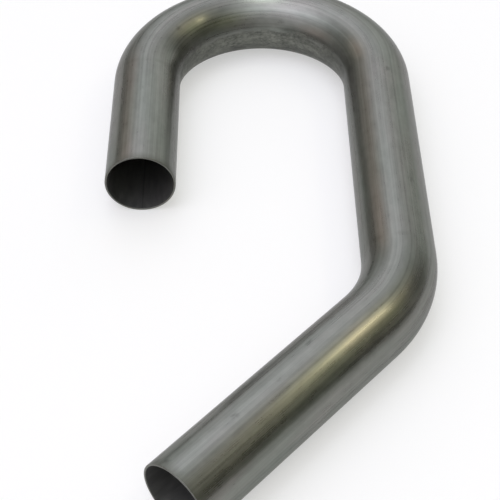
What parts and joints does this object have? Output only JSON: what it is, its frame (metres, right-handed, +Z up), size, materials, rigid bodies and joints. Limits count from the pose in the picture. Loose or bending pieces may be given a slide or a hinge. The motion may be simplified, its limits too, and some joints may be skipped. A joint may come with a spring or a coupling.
{
  "type": "mandrel bend",
  "caption": "Mandrel-bent steel tube: a short leg, a half-turn return bend, a middle leg, a shallower bend the same way round and a long leg, both ends open.",
  "frame": {"origin": "on the floor, under the middle of the tube's bounding box", "axes": "+Z up, across the plane of the bends; +Y along the short leg, from its open end towards the return bend; +X from the short leg towards the middle leg"},
  "size_m": [0.2572, 0.5783, 0.0571],
  "materials": {
    "steel": "bare, lightly oiled mill finish with drawn lines along the tube"
  },
  "bodies": {
    "root": {"bent_tube": "steel"}
  },
  "joints": []
}
